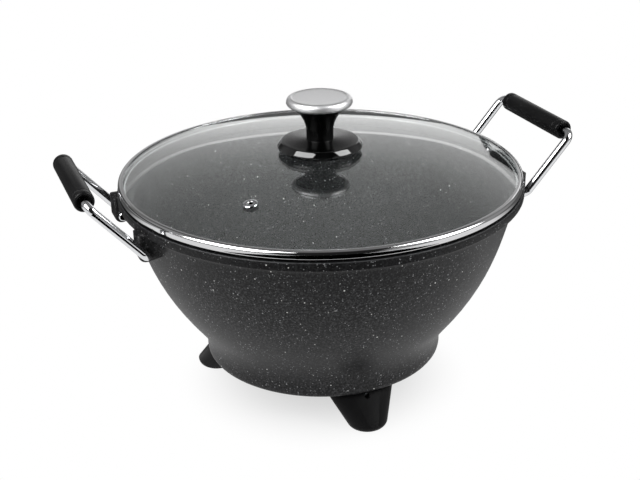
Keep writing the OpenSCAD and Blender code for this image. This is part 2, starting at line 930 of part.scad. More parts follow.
// Ring of the element, open between its two ends
module element_ring() {
    difference() {
        translate([0, 0, element_h])
            rotate_extrude() translate([element_r, 0]) circle(d = sheath_d);
        translate([-lead_x, 0, element_h - sheath_d])
            cube([pin_pitch, element_r + sheath_d, 2 * sheath_d]);
    }
}

module heating_element() {
    color("#6b6c6e") {
        element_ring();
        for (side = [-1, 1])
            translate([side * lead_x, lead_start_y, element_h]) {
                sphere(d = ferrule_d);
                rotate([-90, 0, 0]) cylinder(d = sheath_d, h = strap_y - lead_start_y);
            }
    }
}

module element_clamps() {
    color("#a8aaac")
        for (a = clamp_angles)
            rotate([0, 0, a]) difference() {
                translate([clamp_in, -clamp_w / 2, clamp_top - clamp_t])
                    cube([clamp_out - clamp_in, clamp_w, clamp_t]);
                translate([clamp_screw_at, 0, clamp_top - clamp_t - cut])
                    cylinder(d = clamp_screw_d + 2 * pass_gap, h = clamp_t + 2 * cut);
            }
}

module clamp_screws() {
    color("#9a9c9e")
        for (a = clamp_angles)
            rotate([0, 0, a]) translate([clamp_screw_at, 0, reflector_bottom])
                screw(clamp_screw_d, clamp_head_d, clamp_head_h, reflector_t + clamp_t + clamp_screw_grip);
}

module heat_reflector() {
    color("#b7b9bb")
        difference() {
            translate([0, 0, reflector_bottom]) cylinder(r = reflector_r, h = reflector_t);
            for (a = clamp_angles)
                rotate([0, 0, a]) translate([clamp_screw_at, 0, reflector_bottom - cut])
                    cylinder(d = clamp_screw_d + 2 * pass_gap, h = reflector_t + 2 * cut);
            translate([-reflector_notch_w / 2, probe_start - reflector_notch_gap, reflector_bottom - cut])
                cube([reflector_notch_w, reflector_r, reflector_t + 2 * cut]);
        }
}

// ---------- inlet ----------

// Rounded bar along +Y from y to y_end, about the shroud's axis
module inlet_bar(w, h, r, y, y_end) {
    translate([0, y_end, inlet_mid]) rotate([90, 0, 0])
        linear_extrude(y_end - y) polygon(rounded_rect(w, h, r));
}

module inlet_shroud() {
    blade_slot_x = blade_x - blade_t / 2 - screw_gap;
    color("#1d1d1e")
        difference() {
            union() {
                inlet_bar(shroud_w, shroud_h, shroud_round, shroud_back, shroud_end);
                translate([-flange_w / 2, shroud_back - flange_t, inlet_bottom])
                    cube([flange_w, flange_t + eps, flange_rise]);
            }
            inlet_bar(shroud_w - 2 * shroud_t, shroud_h - 2 * shroud_t, shroud_round - shroud_t,
                shroud_back + shroud_back_t, shroud_end + cut);
            for (side = [-1, 1])
                translate([side * lead_x, shroud_back - cut, inlet_mid]) rotate([-90, 0, 0])
                    cylinder(d = shank_d + 2 * screw_gap, h = shroud_back_t + 2 * cut);
            translate([0, shroud_back - cut, inlet_mid]) rotate([-90, 0, 0])
                cylinder(d = probe_d + 2 * probe_wall_gap, h = shroud_back_t + 2 * cut);
            translate([blade_slot_x, shroud_back - cut, inlet_mid - blade_w / 2 - screw_gap])
                cube([blade_t + 2 * screw_gap, shroud_back_t + 2 * cut, blade_w + 2 * screw_gap]);
            at_inlet_screws() translate([0, 0, inlet_bottom - cut])
                cylinder(d = inlet_screw_d + 2 * screw_gap, h = inlet_screw_grip + seat_gap + cut);
        }
}

module inlet_screws() {
    color("#9a9c9e")
        at_inlet_screws() translate([0, 0, foot_h])
            screw(inlet_screw_d, inlet_head_d, cover_head_h, cover_t + inlet_screw_grip);
}

module contact_pins() {
    shank = shroud_back + shroud_back_t + pin_step - strap_y - strap_t;
    straight = pin_len - pin_step - pin_nose;
    color("#c2a25a")
        for (side = [-1, 1])
            translate([side * lead_x, 0, 0]) {
                translate([-strap_w / 2, strap_y, inlet_mid - strap_w / 2])
                    cube([strap_w, strap_t, element_h + sheath_d / 2 - inlet_mid + strap_w / 2]);
                translate([0, strap_y + strap_t, inlet_mid]) rotate([-90, 0, 0]) {
                    cylinder(d = shank_d, h = shank);
                    translate([0, 0, shank]) cylinder(d = pin_d, h = straight);
                    translate([0, 0, shank + straight])
                        cylinder(d1 = pin_d, d2 = pin_d - 2 * pin_nose, h = pin_nose);
                }
            }
}

module earth_blade() {
    low = inlet_mid - blade_w / 2;
    color("#c7c8ca")
        translate([blade_x - blade_t / 2, 0, 0]) {
            translate([0, shroud_back - blade_strap, low])
                cube([blade_t, blade_strap + shroud_back_t + blade_len, blade_w]);
            translate([0, shroud_back - blade_strap, low])
                cube([blade_t, blade_strap - cut, ceiling_h - seat_gap - low]);
        }
}

module probe_guide() {
    reach = shroud_back + shroud_back_t - probe_start;
    color("#b3b5b7")
        translate([0, probe_start, inlet_mid]) rotate([-90, 0, 0]) difference() {
            cylinder(d = probe_d, h = reach);
            translate([0, 0, probe_end_t]) cylinder(d = probe_bore_d, h = reach);
        }
}

wok_pan();
bail_left();
bail_right();
grip_left();
grip_right();
lid_glass();
lid_band();
steam_vent();
knob_body();
knob_cap();
knob_gaskets();
knob_washer();
knob_screw();
foot_front();
foot_rear_right();
foot_rear_left();
foot_pad_front();
foot_pad_rear_right();
foot_pad_rear_left();
foot_screws();
base_cover();
cover_screws();
heating_element();
element_clamps();
clamp_screws();
heat_reflector();
inlet_shroud();
inlet_screws();
contact_pins();
earth_blade();
probe_guide();
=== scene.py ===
import json
import math

import bmesh
import bpy
from mathutils import Matrix, Vector


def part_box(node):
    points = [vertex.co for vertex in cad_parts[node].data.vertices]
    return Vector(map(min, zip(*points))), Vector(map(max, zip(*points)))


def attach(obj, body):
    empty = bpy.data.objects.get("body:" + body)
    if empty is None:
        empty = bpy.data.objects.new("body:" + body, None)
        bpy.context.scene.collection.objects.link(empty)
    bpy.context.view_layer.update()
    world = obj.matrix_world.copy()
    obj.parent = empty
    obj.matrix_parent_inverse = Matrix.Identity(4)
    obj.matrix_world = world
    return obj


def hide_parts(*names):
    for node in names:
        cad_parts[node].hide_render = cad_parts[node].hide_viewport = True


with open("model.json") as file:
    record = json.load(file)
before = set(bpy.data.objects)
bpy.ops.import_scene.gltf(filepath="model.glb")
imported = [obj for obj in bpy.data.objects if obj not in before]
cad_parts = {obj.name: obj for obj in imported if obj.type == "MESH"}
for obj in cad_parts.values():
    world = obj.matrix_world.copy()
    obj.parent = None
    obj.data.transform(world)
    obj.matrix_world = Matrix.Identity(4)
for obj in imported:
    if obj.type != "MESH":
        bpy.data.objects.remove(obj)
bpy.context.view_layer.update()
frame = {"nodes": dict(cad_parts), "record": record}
nodes = frame["nodes"]
print("frame loaded:", len(nodes), "nodes")


# one output of a shader node, so that sums on it read as Python
class Wire:
    def __init__(self, paint, socket):
        self.paint = paint
        self.socket = socket

    def __add__(self, other):
        return self.paint.maths("ADD", self, other)

    def __radd__(self, other):
        return self.paint.maths("ADD", other, self)

    def __sub__(self, other):
        return self.paint.maths("SUBTRACT", self, other)

    def __rsub__(self, other):
        return self.paint.maths("SUBTRACT", other, self)

    def __mul__(self, other):
        return self.paint.maths("MULTIPLY", self, other)

    def __rmul__(self, other):
        return self.paint.maths("MULTIPLY", other, self)

    def __truediv__(self, other):
        return self.paint.maths("DIVIDE", self, other)

    def sibling(self, out):
        # another output of the same node
        return Wire(self.paint, self.socket.node.outputs[out])


class Paint:
    # a material or the world, with a short way to add nodes
    def __init__(self, owner):
        owner.use_nodes = True
        self.owner = owner
        self.tree = owner.node_tree
        self.tree.nodes.clear()
        kind = "World" if isinstance(owner, bpy.types.World) else "Material"
        self.output = self.tree.nodes.new("ShaderNodeOutput" + kind)

    def node(self, kind, settings=None, values=None, out=0):
        made = self.tree.nodes.new("ShaderNode" + kind)
        for key, value in (settings or {}).items():
            setattr(made, key, value)
        for key, value in (values or {}).items():
            if isinstance(value, Wire):
                self.tree.links.new(value.socket, made.inputs[key])
            else:
                made.inputs[key].default_value = value
        return Wire(self, made.outputs[out])

    def maths(self, operation, *values):
        return self.node("Math", {"operation": operation}, dict(enumerate(values)))

    def vectors(self, operation, *values, out="Vector"):
        return self.node("VectorMath", {"operation": operation}, dict(enumerate(values)), out)

    def stretch(self, vector, factors):
        return self.vectors("MULTIPLY", vector, factors)

    def place(self):
        return self.node("TexCoord", out="Object")

    def split(self, vector, axis):
        return self.node("SeparateXYZ", values={0: vector}, out=axis)

    def join(self, x, y, z):
        return self.node("CombineXYZ", values={0: x, 1: y, 2: z})

    def fromAxis(self, vector):
        # distance from the Z axis
        x = self.split(vector, "X")
        y = self.split(vector, "Y")
        return self.maths("SQRT", x * x + y * y)

    def noise(self, vector, size, detail=2.0, rough=0.5):
        # size is the width of one blotch in metres
        values = {"Vector": vector, "Scale": 1 / size, "Detail": detail, "Roughness": rough}
        return self.node("TexNoise", {"noise_dimensions": "3D"}, values)

    def between(self, value, low, high, start=0.0, end=1.0):
        # smooth step from start to end while value goes from low to high
        settings = {"interpolation_type": "SMOOTHSTEP", "clamp": True}
        return self.node("MapRange", settings, {0: value, 1: low, 2: high, 3: start, 4: end})

    def below(self, value, low, high):
        # 1 while value is under low, and 0 once it is over high
        return self.between(value, low, high, 1.0, 0.0)

    def blend(self, factor, a, b):
        settings = {"data_type": "RGBA", "blend_type": "MIX", "clamp_factor": True}
        return self.node("Mix", settings, {0: factor, 6: a, 7: b}, out=2)

    def bump(self, height, strength, depth, edge=0.0):
        # depth is the height of the relief and edge the radius of soft edges, in metres
        values = {"Height": height, "Strength": strength, "Distance": depth}
        if edge:
            values["Normal"] = self.node("Bevel", {"samples": 4}, {"Radius": edge})
        return self.node("Bump", values=values)

    def ray(self, kind):
        # 1 on rays of one kind, such as Camera or Glossy
        return self.node("LightPath", out="Is " + kind + " Ray")

    def mixShaders(self, factor, a, b):
        return self.node("MixShader", values={0: factor, 1: a, 2: b})

    def show(self, shader):
        self.tree.links.new(shader.socket, self.output.inputs["Surface"])
        return self.owner

    def metalOrPlastic(self, values):
        return self.show(self.node("BsdfPrincipled", values=values))


def newPaint(name):
    return Paint(bpy.data.materials.new(name))


def mixed(factor, a, b):
    # from a to b while factor goes from 0 to 1
    return a + factor * (b - a)


def swing(noise, reach):
    # a noise about its middle, which moves a value both ways
    return (noise - 0.5) * reach


def ink(code):
    # "#rrggbb" as the linear colour that a shader socket takes
    parts = [int(code[i:i + 2], 16) / 255 for i in (1, 3, 5)]
    linear = [p / 12.92 if p <= 0.04045 else ((p + 0.055) / 1.055) ** 2.4 for p in parts]
    return (*linear, 1.0)


def toned(colour, factor, lift=0.0):
    # the same colour darker or lighter
    return (*(min(1.0, part * factor + lift) for part in colour[:3]), 1.0)


white = (1.0, 1.0, 1.0, 1.0)

# finishes, with sizes in metres: a range is where a soft step starts and ends, a share how
# much of it shows, and grainRough, ringRough and the like how far a noise moves the roughness
coatingLook = {
    "ground": "#131314",
    "mottle": "#3a3a3b",
    "cloud": "#2a2a2b",
    "black": "#0a0a0b",
    "grainSize": 0.0017,
    "grainRange": (0.42, 0.66),
    "grainRough": 0.16,
    "cloudSize": 0.05,
    "cloudRange": (0.3, 0.7),
    "cloudShare": 0.25,
    "cloudRough": 0.1,
    "roughness": 0.44,
    "shine": 0.17,
    "peelSize": 0.0007,
    "peelShare": 0.7,
    "spotRelief": 0.5,
    "reliefStrength": 0.5,
    "relief": 0.00004,
    "softEdge": 0.0009,
    # heights and distances from the axis of the painted shade that darkens the coat towards the rim
    "upperShadeRange": (0.150, 0.188),
    "upperShadeShare": 0.4,
    "edgeShadeRadius": (0.1740, 0.1750),
    "edgeShadeHeight": (0.1850, 0.1870),
    "edgeShadeShare": 0.6,
    # the rim's top corner, lighter from wear and from a painted highlight
    "rimRadius": (0.1756, 0.1764),
    "rimHeight": (0.1933, 0.1938),
    "rimWearAndHighlight": "#4a4b4d",
    "wearAndHighlightSize": 0.004,
    "wearAndHighlightRange": (0.3, 0.6),
    "wearAndHighlightShare": (0.35, 0.9),
    # the box around each lug
    "lugReach": (0.175, 0.177),
    "lugInner": (0.034, 0.036),
    "lugOuter": (0.055, 0.057),
    "lugTop": (0.1862, 0.1872),
    "lugShare": 0.92,
}
spotLook = {
    # dust, specks and flakes: colour, width of a cell, the spot's size in it, the share of
    # cells that hold one, how strongly the faintest shows and what the strongest adds
    "kinds": [
        ("#8e8f91", 0.0019, 0.26, 0.72, 0.15, 0.7),
        ("#a4a5a7", 0.0028, 0.21, 0.5, 0.2, 0.7),
        ("#e2e2e0", 0.0048, 0.15, 0.28, 0.4, 0.6),
    ],
    "smallest": 0.5,
    "spread": 0.7,
    "outlineRange": (0.6, 1.0),
    "bendSize": 0.0012,
    "bendReach": 0.0006,
    "clumpSize": 0.016,
    "clumpRange": (0.3, 0.7),
    "clumpShare": (0.35, 1.25),
}


def spots(paint, where, cell, size, keep):
    # round spots of mixed size: 1 inside a spot, in the share of cells given by keep
    values = {"Vector": where, "Scale": 1 / cell}
    distance = paint.node("TexVoronoi", values=values, out="Distance")
    dice = distance.sibling("Color")
    present = paint.maths("LESS_THAN", paint.split(dice, "X"), keep)
    grade = paint.split(dice, "Y")
    radius = (grade * spotLook["spread"] + spotLook["smallest"]) * size
    return paint.below(distance / radius, *spotLook["outlineRange"]) * present, grade


def speckledCoating():
    look = coatingLook
    paint = newPaint("speckled_coating")
    where = paint.place()
    z = paint.split(where, "Z")
    radius = paint.fromAxis(where)
    grain = paint.noise(where, look["grainSize"], rough=0.6)
    cloud = paint.noise(where, look["cloudSize"], detail=3.0)
    mottle = paint.between(grain, *look["grainRange"])
    clouded = paint.between(cloud, *look["cloudRange"]) * look["cloudShare"]
    colour = paint.blend(mottle, ink(look["ground"]), ink(look["mottle"]))
    colour = paint.blend(clouded, colour, ink(look["cloud"]))
    # painted shade: the coat is darker towards the rim, and darkest on the rim's outer edge
    upper = paint.between(z, *look["upperShadeRange"]) * look["upperShadeShare"]
    edge = paint.between(radius, *look["edgeShadeRadius"]) * paint.between(z, *look["edgeShadeHeight"])
    paintedRimShade = paint.maths("MAXIMUM", edge * look["edgeShadeShare"], upper)
    colour = paint.blend(paintedRimShade, colour, ink(look["black"]))
    # the spots gather in clumps, and a fine noise bends their outlines
    warp = paint.noise(where, spotLook["bendSize"])
    drift = paint.vectors("SUBTRACT", warp, (0.5,) * 3)
    bent = paint.vectors("MULTIPLY_ADD", drift, (spotLook["bendReach"],) * 3, where)
    clump = paint.noise(where, spotLook["clumpSize"])
    clump = paint.between(clump, *spotLook["clumpRange"], *spotLook["clumpShare"])
    for spotColour, cell, size, share, faintest, gain in spotLook["kinds"]:
        spot, grade = spots(paint, bent, cell, size, clump * share)
        colour = paint.blend(spot * (grade * gain + faintest), colour, ink(spotColour))
    # wear and a painted highlight along the rim's top corner
    corner = paint.between(radius, *look["rimRadius"]) * paint.between(z, *look["rimHeight"])
    wearAndHighlightNoise = paint.noise(where, look["wearAndHighlightSize"], detail=3.0)
    wornAndHighlighted = corner * paint.between(wearAndHighlightNoise, *look["wearAndHighlightRange"], *look["wearAndHighlightShare"])
    colour = paint.blend(wornAndHighlighted, colour, ink(look["rimWearAndHighlight"]))
    # the lugs are made nearly black over their spots
    outward = paint.maths("ABSOLUTE", paint.split(where, "X"))
    aside = paint.maths("ABSOLUTE", paint.split(where, "Y"))
    lug = paint.between(outward, *look["lugReach"]) * paint.between(aside, *look["lugInner"])
    lug = lug * paint.below(aside, *look["lugOuter"]) * paint.below(z, *look["lugTop"])
    colour = paint.blend(lug * look["lugShare"], colour, ink(look["black"]))
    uneven = swing(grain, look["grainRough"]) + swing(cloud, look["cloudRough"])
    # the last kind of spot, the flakes, stands out a little
    height = paint.noise(where, look["peelSize"]) * look["peelShare"] + spot * look["spotRelief"]
    return paint.metalOrPlastic({
        "Base Color": colour,
        "Roughness": uneven + look["roughness"],
        "Specular IOR Level": look["shine"],
        "Normal": paint.bump(height, look["reliefStrength"], look["relief"], look["softEdge"]),
    })


# here the marks and the smear move the roughness by a share of itself
metalLook = {
    "smearSize": 0.018,
    "smearRough": 0.5,
    "markRange": (0.35, 0.65),
    "markShare": 0.3,
    "markTone": 0.86,
    "markRough": 0.7,
    "reliefStrength": 0.25,
}


def bareMetal(name, colour, roughness, markSize, stretched=(1, 1, 1), relief=0.000004):
    # metal with fine marks, drawn out along one axis where stretched says so
    look = metalLook
    colour = ink(colour)
    paint = newPaint(name)
    where = paint.place()
    marks = paint.noise(paint.stretch(where, stretched), markSize, detail=3.0, rough=0.6)
    smear = paint.noise(where, look["smearSize"])
    marked = paint.between(marks, *look["markRange"]) * look["markShare"]
    uneven = swing(marks, look["markRough"]) + swing(smear, look["smearRough"])
    return paint.metalOrPlastic({
        "Base Color": paint.blend(marked, colour, toned(colour, look["markTone"])),
        "Metallic": 1.0,
        "Roughness": (uneven + 1.0) * roughness,
        "Normal": paint.bump(marks, look["reliefStrength"], relief),
    })


eyeletLook = {
    "chrome": "#e6e7e9",
    "bore": "#050505",
    "boreRadius": (0.0018, 0.0022),
    "boreRough": 0.4,
    "roughness": 0.06,
    "markSize": 0.0004,
    "markRough": 0.05,
    "reliefStrength": 0.2,
    "relief": 0.000002,
}


def eyeletChrome():
    # bright outside, with painted shade in the bore
    look = eyeletLook
    low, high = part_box("steam_vent")
    paint = newPaint("chrome_fitting")
    where = paint.place()
    marks = paint.noise(where, look["markSize"], detail=3.0, rough=0.6)
    fromMiddle = paint.vectors("SUBTRACT", where, tuple((low + high) / 2))
    # painted shade: the bore turns near black and rough
    bore = paint.below(paint.fromAxis(fromMiddle), *look["boreRadius"])
    uneven = swing(marks, look["markRough"]) + bore * look["boreRough"]
    return paint.metalOrPlastic({
        "Base Color": paint.blend(bore, ink(look["chrome"]), ink(look["bore"])),
        "Metallic": 1.0,
        "Roughness": uneven + look["roughness"],
        "Normal": paint.bump(marks, look["reliefStrength"], look["relief"]),
    })


bandLook = {
    "colour": "#d8d8d9",
    "ringTone": 0.9,
    "ringSize": 0.0003,
    "ringRange": (0.3, 0.7),
    "ringShare": 0.5,
    "ringRough": 0.054,
    "smearSize": 0.03,
    "smearRough": 0.054,
    "roughness": 0.09,
    "reliefStrength": 0.2,
    "relief": 0.000004,
}


def bandSteel():
    # polished sheet with the faint rings that polishing on a lathe leaves
    look = bandLook
    paint = newPaint("polished_steel")
    where = paint.place()
    path = paint.join(paint.fromAxis(where), paint.split(where, "Z"), 0.0)
    rings = paint.noise(path, look["ringSize"], rough=0.6)
    ringed = paint.between(rings, *look["ringRange"]) * look["ringShare"]
    smear = paint.noise(where, look["smearSize"])
    uneven = swing(rings, look["ringRough"]) + swing(smear, look["smearRough"])
    colour = ink(look["colour"])
    return paint.metalOrPlastic({
        "Base Color": paint.blend(ringed, colour, toned(colour, look["ringTone"])),
        "Metallic": 1.0,
        "Roughness": uneven + look["roughness"],
        "Normal": paint.bump(rings, look["reliefStrength"], look["relief"]),
    })


capLook = {
    "rim": "#e8e8e9",
    "satin": "#e6e6e7",
    "ring": "#f6f6f7",
    "frost": "#dadadb",
    "faceRadius": (0.0224, 0.0240),
    "ringSize": 0.00022,
    "ringRange": (0.3, 0.7),
    "ringRough": 0.1,
    "frostSize": 0.0005,
    "frostRange": (0.35, 0.65),
    "frostShare": 0.4,
    "frostRough": 0.03,
    "faceMetallic": 0.8,
    "roughness": 0.42,
    "reliefStrength": 0.35,
    "relief": 0.00001,
}


def capSteel():
    # one piece with a satin, turned face inside a plain rim
    look = capLook
    paint = newPaint("satin_steel")
    where = paint.place()
    radius = paint.fromAxis(where)
    face = paint.below(radius, *look["faceRadius"])
    rings = paint.noise(paint.join(radius, 0.0, 0.0), look["ringSize"], rough=0.7)
    frost = paint.noise(where, look["frostSize"], detail=3.0, rough=0.6)
    ringed = paint.between(rings, *look["ringRange"])
    frosted = paint.between(frost, *look["frostRange"]) * look["frostShare"]
    satin = paint.blend(ringed, ink(look["satin"]), ink(look["ring"]))
    satin = paint.blend(frosted, satin, ink(look["frost"]))
    uneven = face * swing(rings, look["ringRough"]) + swing(frost, look["frostRough"])
    return paint.metalOrPlastic({
        "Base Color": paint.blend(face, ink(look["rim"]), satin),
        "Metallic": mixed(face, 1.0, look["faceMetallic"]),
        "Roughness": uneven + look["roughness"],
        "Normal": paint.bump(rings * face, look["reliefStrength"], look["relief"]),
    })


# here too the grain and the flow move the roughness by a share of itself
plasticLook = {
    "flowSize": 0.022,
    "flowStretch": (1.0, 1.0, 0.4),
    "flowRange": (0.35, 0.75),
    "flowRough": 0.3,
    "grainRange": (0.5, 0.75),
    "grainRough": 0.35,
    "lightShare": 0.25,
    "lightTone": 1.9,
    "lightLift": 0.004,
    "reliefStrength": 0.4,
    "softEdge": 0.0006,
}


def mouldedPlastic(name, colour, roughness, grainSize, relief, shine):
    # moulded phenolic: an even ground, faint flow marks and a grain that catches the light
    look = plasticLook
    colour = ink(colour)
    light = toned(colour, look["lightTone"], look["lightLift"])
    paint = newPaint(name)
    where = paint.place()
    flow = paint.noise(paint.stretch(where, look["flowStretch"]), look["flowSize"], detail=3.0)
    grain = paint.noise(where, grainSize, detail=3.0, rough=0.6)
    tone = paint.blend(paint.between(flow, *look["flowRange"]) * look["lightShare"], colour, light)
    tone = paint.blend(paint.between(grain, *look["grainRange"]) * look["lightShare"], tone, light)
    uneven = swing(grain, look["grainRough"]) + swing(flow, look["flowRough"])
    return paint.metalOrPlastic({
        "Base Color": tone,
        "Roughness": (uneven + 1.0) * roughness,
        "Specular IOR Level": shine,
        "Normal": paint.bump(grain, look["reliefStrength"], relief, look["softEdge"]),
    })


knobLook = {
    "colour": "#030303",
    "haze": "#0a0a0b",
    "hazeSize": 0.012,
    "hazeStretch": (1.0, 1.0, 0.35),
    "hazeRange": (0.4, 0.75),
    "hazeShare": 0.6,
    "hazeRough": 0.03,
    "fineSize": 0.0006,
    "fineRough": 0.02,
    # heights of the bevel's top and of the stem's foot
    "bevelTop": (0.2296, 0.2302),
    "stemFoot": (0.2301, 0.2306),
    "bevelRoughness": 0.05,
    "discRoughness": 0.18,
    "stemRoughness": 0.2,
    "shine": 0.22,
    "coatRoughness": 0.04,
    "reliefStrength": 0.2,
    "relief": 0.000002,
}


def knobPhenolic():
    # lacquered bevel, satin disc and a softer, wiped stem, on one piece
    look = knobLook
    paint = newPaint("gloss_phenolic")
    where = paint.place()
    z = paint.split(where, "Z")
    haze = paint.noise(paint.stretch(where, look["hazeStretch"]), look["hazeSize"], detail=3.0)
    hazed = paint.between(haze, *look["hazeRange"]) * look["hazeShare"]
    fine = paint.noise(where, look["fineSize"], rough=0.6)
    bevel = paint.below(z, *look["bevelTop"])
    stem = paint.between(z, *look["stemFoot"])
    roughness = mixed(bevel, look["discRoughness"], look["bevelRoughness"])
    roughness = roughness + stem * (look["stemRoughness"] - look["discRoughness"])
    uneven = swing(haze, look["hazeRough"]) + swing(fine, look["fineRough"])
    return paint.metalOrPlastic({
        "Base Color": paint.blend(hazed, ink(look["colour"]), ink(look["haze"])),
        "Roughness": roughness + uneven,
        "Coat Weight": bevel,
        "Coat Roughness": look["coatRoughness"],
        "Specular IOR Level": look["shine"],
        "Normal": paint.bump(fine, look["reliefStrength"], look["relief"]),
    })


glassLook = {
    "tint": (0.93, 0.955, 0.95, 1.0),
    "ior": 1.45,
    "shine": 0.32,
    "waveSize": 0.045,
    "waveStrength": 0.3,
    "wave": 0.00002,
}


def lidGlass():
    look = glassLook
    paint = newPaint("clear_glass")
    wave = paint.noise(paint.place(), look["waveSize"], detail=1.0)
    glass = paint.node("BsdfPrincipled", values={
        "Base Color": look["tint"],
        "Transmission Weight": 1.0,
        "Roughness": 0.0,
        "IOR": look["ior"],
        "Specular IOR Level": look["shine"],
        "Normal": paint.bump(wave, look["waveStrength"], look["wave"]),
    })
    # light passes through to the bowl without a dark shadow
    clear = paint.node("BsdfTransparent", values={"Color": look["tint"]})
    return paint.show(paint.mixShaders(paint.ray("Shadow"), glass, clear))


# colour, roughness, width of the marks, the way they are drawn out, and their relief
metals = {
    "chrome_wire": ("#dfe0e2", 0.055, 0.0006, (1, 1, 1), 0.000001),
    "zinc_steel": ("#7c7e81", 0.34, 0.0005, (1, 1, 3)),
    "element_sheath": ("#6c6a68", 0.45, 0.0006, (1, 1, 2)),
    "reflector_sheet": ("#c3c4c6", 0.28, 0.0005, (0.1, 3, 1)),
    "pin_brass": ("#c8a85f", 0.22, 0.0004, (3, 0.3, 3)),
}
# colour, roughness, width of the grain, its relief, and the gloss
plastics = {
    "grip_plastic": ("#0e0e0f", 0.36, 0.0005, 0.00001, 0.16),
    "silicone": ("#161617", 0.7, 0.0004, 0.00002, 0.25),
    "foot_phenolic": ("#0a0a0b", 0.55, 0.00045, 0.00003, 0.12),
    "rubber_pad": ("#161617", 0.8, 0.0004, 0.00004, 0.2),
    "cover_phenolic": ("#101011", 0.52, 0.0005, 0.00003, 0.28),
}
finishes = {
    "speckled_coating": speckledCoating(),
    "chrome_fitting": eyeletChrome(),
    "clear_glass": lidGlass(),
    "polished_steel": bandSteel(),
    "gloss_phenolic": knobPhenolic(),
    "satin_steel": capSteel(),
}
for name, values in metals.items():
    finishes[name] = bareMetal(name, *values)
for name, values in plastics.items():
    finishes[name] = mouldedPlastic(name, *values)
print("finishes made:", len(finishes))

for part in frame["record"]["subparts"]:
    shell = nodes[part["node"]]
    shell.data.materials.clear()
    shell.data.materials.append(finishes[part["material_slot"]])
print("CAD nodes painted")


# shaping
weld = 1e-6  # points closer than this become one


def once(items):
    # each item once, in the same order every run
    return list(dict.fromkeys(items))


def outline(corners, closed=False):
    # a line in the XZ plane through (radius, height, rounding) corners, all in millimetres
    mesh = bmesh.new()
    points = [mesh.verts.new((radius / 1000, 0, height / 1000)) for radius, height, bend in corners]
    ends = points[1:] + points[:1] if closed else points[1:]
    for a, b in zip(points, ends):
        mesh.edges.new((a, b))
    for point, (radius, height, bend) in zip(points, corners):
        if bend:
            # wider roundings get more steps
            bmesh.ops.bevel(mesh, geom=[point], offset=bend / 1000, segments=3 + int(bend * 1.5),
                            profile=0.5, affect="VERTICES", material=-1)
    return mesh


def bowed(steps, *pulls):
    # a smooth run of corners from the first point to the last, drawn towards those between
    run = []
    for step in range(steps + 1):
        part = step / steps
        row = list(pulls)
        while len(row) > 1:
            row = [tuple(p + (q - p) * part for p, q in zip(a, b)) for a, b in zip(row, row[1:])]
        run.append(row[0] + (0,))
    return run


def lathe(mesh, steps):
    # takes the outline once round the Z axis
    bmesh.ops.spin(mesh, geom=mesh.verts[:] + mesh.edges[:], cent=(0, 0, 0), axis=(0, 0, 1),
                   angle=2 * math.pi, steps=steps, use_merge=True)
    bmesh.ops.remove_doubles(mesh, verts=mesh.verts, dist=weld)
    bmesh.ops.recalc_face_normals(mesh, faces=mesh.faces)
    return mesh


def about(axis, degrees):
    return Matrix.Rotation(math.radians(degrees), 3, axis)


def towards(way):
    # stands what was made along +Z along way
    return way.to_track_quat("Z", "Y").to_matrix()


def move(mesh, turned, place=(0, 0, 0), verts=None):
    # turns a shape about the origin and then carries it to place
    verts = verts or mesh.verts
    bmesh.ops.rotate(mesh, cent=(0, 0, 0), matrix=turned, verts=verts)
    bmesh.ops.translate(mesh, vec=place, verts=verts)


def flip(mesh):
    # the same shape on the other side of the YZ plane
    bmesh.ops.scale(mesh, vec=(-1, 1, 1), verts=mesh.verts)
    bmesh.ops.reverse_faces(mesh, faces=mesh.faces)


def placed(mesh, name):
    # the shape as an object at the origin
    data = bpy.data.meshes.new(name)
    mesh.to_mesh(data)
    mesh.free()
    made = bpy.data.objects.new(name, data)
    bpy.context.scene.collection.objects.link(made)
    return made


def smooth(data, sharp):
    # smooth shading that breaks at edges of more than sharp degrees
    data.shade_smooth()
    data.set_sharp_from_angle(angle=math.radians(sharp))


def finished(mesh, name, body, slotName, node, sharp=35):
    # a piece that rides on body and stands for a CAD node
    piece = placed(mesh, name)
    smooth(piece.data, sharp)
    piece.data.materials.append(finishes[slotName])
    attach(piece, body)
    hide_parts(node)
    return piece


def cutAway(piece, tool, sharp):
    # takes the shape of tool out of a finished piece
    cutter = placed(tool, "tool")
    cut = piece.modifiers.new("cut", "BOOLEAN")
    cut.operation = "DIFFERENCE"
    cut.solver = "EXACT"
    cut.object = cutter
    bpy.context.view_layer.update()
    cutPiece = piece.evaluated_get(bpy.context.evaluated_depsgraph_get())
    shaped = bpy.data.meshes.new_from_object(cutPiece)
    piece.modifiers.clear()
    piece.data = shaped
    smooth(shaped, sharp)
    bpy.data.objects.remove(cutter)


# pan: the casting's CAD triangles as one smooth skin
panShape = {"merge": 2e-6, "sharp": 32}


def makePan():
    mesh = bmesh.new()
    mesh.from_mesh(nodes["wok_pan"].data)
    bmesh.ops.remove_doubles(mesh, verts=mesh.verts, dist=panShape["merge"])
    finished(mesh, "pan_casting", "pan", "speckled_coating", "wok_pan", panShape["sharp"])


makePan()
print("pan made")

# lid: a domed pane in a rolled steel band, all sizes in millimetres
paneShape = {
    "thickness": 4,
    "knobHole": 3,
    "ventHole": 2.6,
    "ventSteps": 24,
    "ventNear": 10,
    "innerSteps": 26,
    "outerSteps": 14,
    "roundSteps": 168,
    "sharp": 40,
}
bandShape = {
    # the sheet's outer skin, as inward and downward from the band's top corner, and rounding
    "path": [(4.7, 0.1, 0), (0, 0, 3.35), (0, 7.3, 1.75), (2.5, 7.3, 0.5),
             (3.9, 8.7, 0.5), (6.65, 8.7, 0.45), (6.65, 16.7, 0)],
    "sheet": 0.7,
    "roundSteps": 192,
    "sharp": 40,
}


